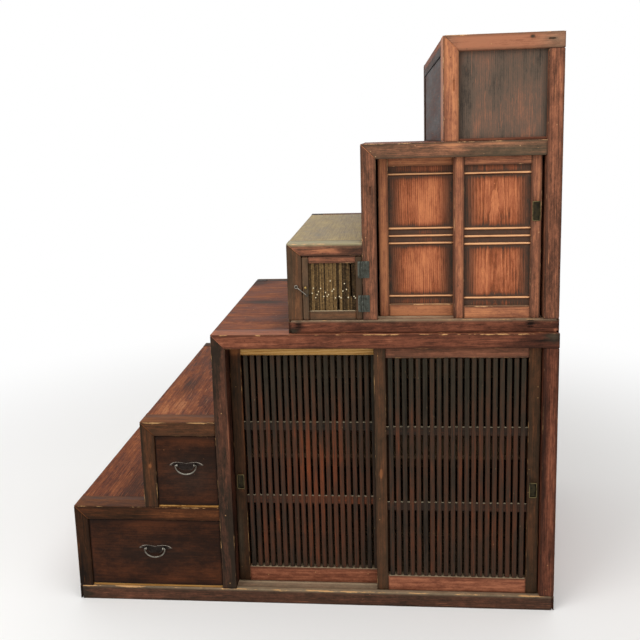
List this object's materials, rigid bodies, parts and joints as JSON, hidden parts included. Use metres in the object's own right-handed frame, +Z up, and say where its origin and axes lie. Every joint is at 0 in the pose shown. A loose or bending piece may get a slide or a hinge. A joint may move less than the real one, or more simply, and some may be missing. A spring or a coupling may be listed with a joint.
{
  "type": "step chest",
  "caption": "Two-part stair-shaped wooden chest with drawers, lattice and panelled sliding doors and a small hinged door filled with reeds.",
  "frame": {"origin": "on the floor, under the middle of the chest's overall box", "axes": "+Z up, the front faces -Y, +X from the lowest step to the tall end"},
  "size_m": [1.545, 0.9092, 1.78],
  "materials": {
    "dark_frame_wood": "old brown-black stain rubbed through on the edges",
    "red_frame_wood": "old red-brown stain rubbed through on the edges",
    "tread_wood": "foot-worn red-brown stain",
    "door_panel_wood": "brushed orange-brown softwood",
    "drawer_wood": "dark brown stain",
    "raw_inner_wood": "unfinished softwood, aged",
    "dry_reed": "dry golden-brown twigs",
    "wrought_iron": "dark hand-wrought iron",
    "brass": "dull brass"
  },
  "bodies": {
    "chest": {"back_boards": "raw_inner_wood", "base_rails": "raw_inner_wood", "base_sill": "dark_frame_wood", "cupboard_shelf": "raw_inner_wood", "floor_boards": "raw_inner_wood", "frame_ironwork": "wrought_iron", "lower_back_frame": "dark_frame_wood", "lower_right_post": "dark_frame_wood", "lower_side_panels": "dark_frame_wood", "lower_side_rails": "raw_inner_wood", "runners_and_bearers": "raw_inner_wood", "step_1_post": "dark_frame_wood", "step_1_rail": "dark_frame_wood", "step_1_tread": "tread_wood", "step_2_post": "dark_frame_wood", "step_2_rail": "dark_frame_wood", "step_2_tread": "tread_wood", "step_3_post": "dark_frame_wood", "step_3_rail": "dark_frame_wood", "step_3_tread": "tread_wood", "step_4_post": "red_frame_wood", "step_4_rail": "red_frame_wood", "step_4_tread": "tread_wood", "step_5_post": "red_frame_wood", "step_5_rail": "red_frame_wood", "step_5_tread": "tread_wood", "step_6_post": "red_frame_wood", "step_6_rail": "red_frame_wood", "step_6_tread": "tread_wood", "top_panel": "door_panel_wood", "upper_back_frame": "red_frame_wood", "upper_base_rails": "raw_inner_wood", "upper_right_post": "red_frame_wood", "upper_side_panels": "red_frame_wood", "upper_side_rails": "raw_inner_wood", "upper_sill": "red_frame_wood"},
    "wide_drawer": {"wide_drawer_front": "drawer_wood", "wide_drawer_box": "raw_inner_wood", "wide_drawer_plate": "wrought_iron"},
    "wide_bail": {"wide_drawer_bail": "wrought_iron"},
    "small_drawer": {"small_drawer_front": "drawer_wood", "small_drawer_box": "raw_inner_wood", "small_drawer_plate": "wrought_iron"},
    "small_bail": {"small_drawer_bail": "wrought_iron"},
    "left_lattice_door": {"left_lattice_frame": "dark_frame_wood", "left_lattice_grille": "dark_frame_wood", "left_lattice_pull": "wrought_iron"},
    "right_lattice_door": {"right_lattice_frame": "dark_frame_wood", "right_lattice_grille": "dark_frame_wood", "right_lattice_pull": "wrought_iron"},
    "left_panel_door": {"left_panel_frame": "red_frame_wood", "left_panel_infill": "door_panel_wood"},
    "right_panel_door": {"right_panel_frame": "red_frame_wood", "right_panel_infill": "door_panel_wood", "right_panel_pull": "wrought_iron"},
    "small_door": {"small_door_frame": "red_frame_wood", "small_door_reeds": "dry_reed", "small_door_ironwork": "wrought_iron", "small_door_knob": "brass"},
    "hasp": {"small_door_hasp": "wrought_iron"}
  },
  "joints": [
    {"name": "wide_drawer_slide", "type": "slide", "parent": "chest", "child": "wide_drawer", "axis": [0, -1, 0], "range_m": [0, 0.7]},
    {"name": "small_drawer_slide", "type": "slide", "parent": "chest", "child": "small_drawer", "axis": [0, -1, 0], "range_m": [0, 0.7]},
    {"name": "wide_bail_swing", "type": "hinge", "parent": "wide_drawer", "child": "wide_bail", "pos_m": [-0.508, -0.4504, 0.188], "axis": [-1, 0, 0], "range_deg": [0, 150]},
    {"name": "small_bail_swing", "type": "hinge", "parent": "small_drawer", "child": "small_bail", "pos_m": [-0.388, -0.4504, 0.478], "axis": [-1, 0, 0], "range_deg": [0, 150]},
    {"name": "left_lattice_slide", "type": "slide", "parent": "chest", "child": "left_lattice_door", "axis": [1, 0, 0], "range_m": [-0.0018, 0.4623]},
    {"name": "right_lattice_slide", "type": "slide", "parent": "chest", "child": "right_lattice_door", "axis": [1, 0, 0], "range_m": [-0.4603, 0.0038]},
    {"name": "left_panel_slide", "type": "slide", "parent": "chest", "child": "left_panel_door", "axis": [1, 0, 0], "range_m": [-0.0058, 0.2333]},
    {"name": "right_panel_slide", "type": "slide", "parent": "chest", "child": "right_panel_door", "axis": [1, 0, 0], "range_m": [-0.2303, 0.0088]},
    {"name": "small_door_swing", "type": "hinge", "parent": "chest", "child": "small_door", "pos_m": [0.18675, -0.4362, 1.0515], "axis": [0, 0, 1], "range_deg": [0, 110]},
    {"name": "hasp_swing", "type": "hinge", "parent": "small_door", "child": "hasp", "pos_m": [0.018, -0.4366, 1.026], "axis": [0.6332, 0, 0.774], "range_deg": [0, 95]}
  ]
}
